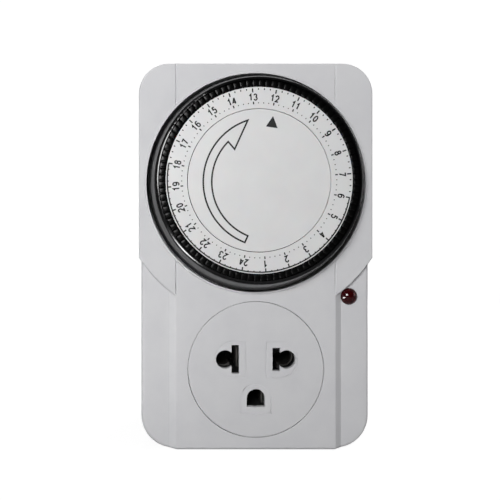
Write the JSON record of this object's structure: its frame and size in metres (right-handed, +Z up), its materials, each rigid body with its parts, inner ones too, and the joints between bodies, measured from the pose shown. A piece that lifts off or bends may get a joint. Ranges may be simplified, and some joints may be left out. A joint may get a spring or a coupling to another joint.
{
  "type": "plug-in timer switch",
  "caption": "Plug-in mechanical timer: an upright case with a round tappet dial above, a universal earthed outlet and a small lamp below, and flat blades with an earth pin behind.",
  "frame": {"origin": "the wall face (the back of the rear cover), at the point half way between the two flat blades", "axes": "+Y points into the wall along the blades, the front faces -Y, +Z is up, +X is right seen from the front"},
  "size_m": [0.0724, 0.067, 0.1199],
  "materials": {
    "case_plastic": "fine matt, light grey",
    "insert_plastic": "fine matt, light grey",
    "white_plastic": "satin, white, printed in black",
    "black_plastic": "gloss, black",
    "tappet_plastic": "satin, black",
    "frame_plastic": "natural acetal",
    "gear_plastic": "natural acetal",
    "red_plastic": "gloss, red",
    "brass": "rolled sheet",
    "nickel_brass": "nickel plated brass",
    "zinc_steel": "zinc plated",
    "polished_steel": "ground and polished",
    "rotor_magnet": "sintered ferrite",
    "copper_winding": "enamelled copper wire",
    "wire_insulation": "insulated stranded wire",
    "red_lens": "clear dark red",
    "lamp_glass": "clear glass",
    "resistor_body": "lacquered"
  },
  "bodies": {
    "case": {"front_cover": "case_plastic", "rear_cover": "case_plastic", "case_screws": "zinc_steel", "socket_insert": "insert_plastic", "insert_screws": "zinc_steel", "neutral_contact": "brass", "live_contact": "brass", "earth_contact": "brass", "neutral_blade": "nickel_brass", "live_blade": "nickel_brass", "earth_pin": "nickel_brass", "contact_rivet": "brass", "dial_retainer": "black_plastic", "dial_screw": "zinc_steel", "centre_disc": "white_plastic", "gear_arbors": "polished_steel", "front_plate": "frame_plastic", "rear_plate": "frame_plastic", "movement_screws": "zinc_steel", "motor_can": "zinc_steel", "motor_screws": "zinc_steel", "motor_bobbin": "frame_plastic", "motor_coil": "copper_winding", "lever_pivot_pin": "polished_steel", "snap_switch": "black_plastic", "switch_fixing_pins": "polished_steel", "switch_terminals": "brass", "override_switch": "black_plastic", "override_wires": "wire_insulation", "indicator_lens": "red_lens", "neon_lamp": "lamp_glass", "lamp_resistor": "resistor_body", "lamp_wires": "wire_insulation", "live_feed_wire": "wire_insulation", "switched_live_wire": "wire_insulation", "motor_leads": "wire_insulation"},
    "dial": {"dial_drum": "black_plastic", "number_ring": "white_plastic"},
    "output_shaft": {"output_pinion": "gear_plastic", "clutch_spring": "polished_steel"},
    "clutch_wheel": {"clutch_wheel": "gear_plastic"},
    "third_wheel": {"third_wheel": "gear_plastic"},
    "second_wheel": {"second_wheel": "gear_plastic"},
    "first_wheel": {"first_wheel": "gear_plastic"},
    "rotor": {"motor_rotor": "rotor_magnet"},
    "lever": {"switch_lever": "frame_plastic"},
    "plunger": {"switch_plunger": "red_plastic"},
    "override_knob": {"override_knob": "black_plastic"},
    "tappets_00_to_02": {"tappets_00_to_02": "tappet_plastic"},
    "tappets_02_to_04": {"tappets_02_to_04": "tappet_plastic"},
    "tappets_04_to_06": {"tappets_04_to_06": "tappet_plastic"},
    "tappets_06_to_08": {"tappets_06_to_08": "tappet_plastic"},
    "tappets_08_to_10": {"tappets_08_to_10": "tappet_plastic"},
    "tappets_10_to_12": {"tappets_10_to_12": "tappet_plastic"},
    "tappets_12_to_14": {"tappets_12_to_14": "tappet_plastic"},
    "tappets_14_to_16": {"tappets_14_to_16": "tappet_plastic"},
    "tappets_16_to_18": {"tappets_16_to_18": "tappet_plastic"},
    "tappets_18_to_20": {"tappets_18_to_20": "tappet_plastic"},
    "tappets_20_to_22": {"tappets_20_to_22": "tappet_plastic"},
    "tappets_22_to_24": {"tappets_22_to_24": "tappet_plastic"}
  },
  "joints": [
    {"name": "dial_spin", "type": "hinge", "parent": "case", "child": "dial", "pos_m": [0, -0.04, 0.0547], "axis": [0, 1, 0], "continuous": true},
    {"name": "output_spin", "type": "hinge", "parent": "case", "child": "output_shaft", "pos_m": [-0.01871, -0.024, 0.0655], "axis": [0, 1, 0], "continuous": true},
    {"name": "rotor_spin", "type": "hinge", "parent": "case", "child": "rotor", "pos_m": [0.01274, -0.008, 0.04812], "axis": [0, 1, 0], "continuous": true},
    {"name": "first_wheel_spin", "type": "hinge", "parent": "case", "child": "first_wheel", "pos_m": [0.01535, -0.0153, 0.0629], "axis": [0, 1, 0], "continuous": true},
    {"name": "second_wheel_spin", "type": "hinge", "parent": "case", "child": "second_wheel", "pos_m": [0.00571, -0.0175, 0.07439], "axis": [0, 1, 0], "continuous": true},
    {"name": "third_wheel_spin", "type": "hinge", "parent": "case", "child": "third_wheel", "pos_m": [-0.00393, -0.0197, 0.0629], "axis": [0, 1, 0], "continuous": true},
    {"name": "clutch_wheel_spin", "type": "hinge", "parent": "case", "child": "clutch_wheel", "pos_m": [-0.01871, -0.0219, 0.0655], "axis": [0, 1, 0], "continuous": true},
    {"name": "press_00_to_02", "type": "slide", "parent": "dial", "child": "tappets_00_to_02", "axis": [0, 1, 0], "range_m": [0, 0.003]},
    {"name": "press_02_to_04", "type": "slide", "parent": "dial", "child": "tappets_02_to_04", "axis": [0, 1, 0], "range_m": [0, 0.003]},
    {"name": "press_04_to_06", "type": "slide", "parent": "dial", "child": "tappets_04_to_06", "axis": [0, 1, 0], "range_m": [0, 0.003]},
    {"name": "press_06_to_08", "type": "slide", "parent": "dial", "child": "tappets_06_to_08", "axis": [0, 1, 0], "range_m": [0, 0.003]},
    {"name": "press_08_to_10", "type": "slide", "parent": "dial", "child": "tappets_08_to_10", "axis": [0, 1, 0], "range_m": [0, 0.003]},
    {"name": "press_10_to_12", "type": "slide", "parent": "dial", "child": "tappets_10_to_12", "axis": [0, 1, 0], "range_m": [0, 0.003]},
    {"name": "press_12_to_14", "type": "slide", "parent": "dial", "child": "tappets_12_to_14", "axis": [0, 1, 0], "range_m": [0, 0.003]},
    {"name": "press_14_to_16", "type": "slide", "parent": "dial", "child": "tappets_14_to_16", "axis": [0, 1, 0], "range_m": [0, 0.003]},
    {"name": "press_16_to_18", "type": "slide", "parent": "dial", "child": "tappets_16_to_18", "axis": [0, 1, 0], "range_m": [0, 0.003]},
    {"name": "press_18_to_20", "type": "slide", "parent": "dial", "child": "tappets_18_to_20", "axis": [0, 1, 0], "range_m": [0, 0.003]},
    {"name": "press_20_to_22", "type": "slide", "parent": "dial", "child": "tappets_20_to_22", "axis": [0, 1, 0], "range_m": [0, 0.003]},
    {"name": "press_22_to_24", "type": "slide", "parent": "dial", "child": "tappets_22_to_24", "axis": [0, 1, 0], "range_m": [0, 0.003]},
    {"name": "lever_rock", "type": "hinge", "parent": "case", "child": "lever", "pos_m": [-0.01197, -0.0255, 0.02565], "axis": [0, 0, 1], "range_deg": [0, 11], "stiffness_Nm_per_rad": 0.004, "springref_deg": -8.59},
    {"name": "plunger_press", "type": "slide", "parent": "case", "child": "plunger", "axis": [0, 1, 0], "range_m": [0, 0.00125]},
    {"name": "override_slide", "type": "slide", "parent": "case", "child": "override_knob", "axis": [0, 0, 1], "range_m": [0, 0.003]}
  ],
  "couplings": [
    {"joint": "output_spin", "follows": "dial_spin", "ratio": 7},
    {"joint": "first_wheel_spin", "follows": "rotor_spin", "ratio": -0.2},
    {"joint": "second_wheel_spin", "follows": "rotor_spin", "ratio": 0.04},
    {"joint": "third_wheel_spin", "follows": "rotor_spin", "ratio": -0.008},
    {"joint": "clutch_wheel_spin", "follows": "rotor_spin", "ratio": 0.0016},
    {"joint": "plunger_press", "follows": "lever_rock", "m_per_rad": 0.0065}
  ]
}
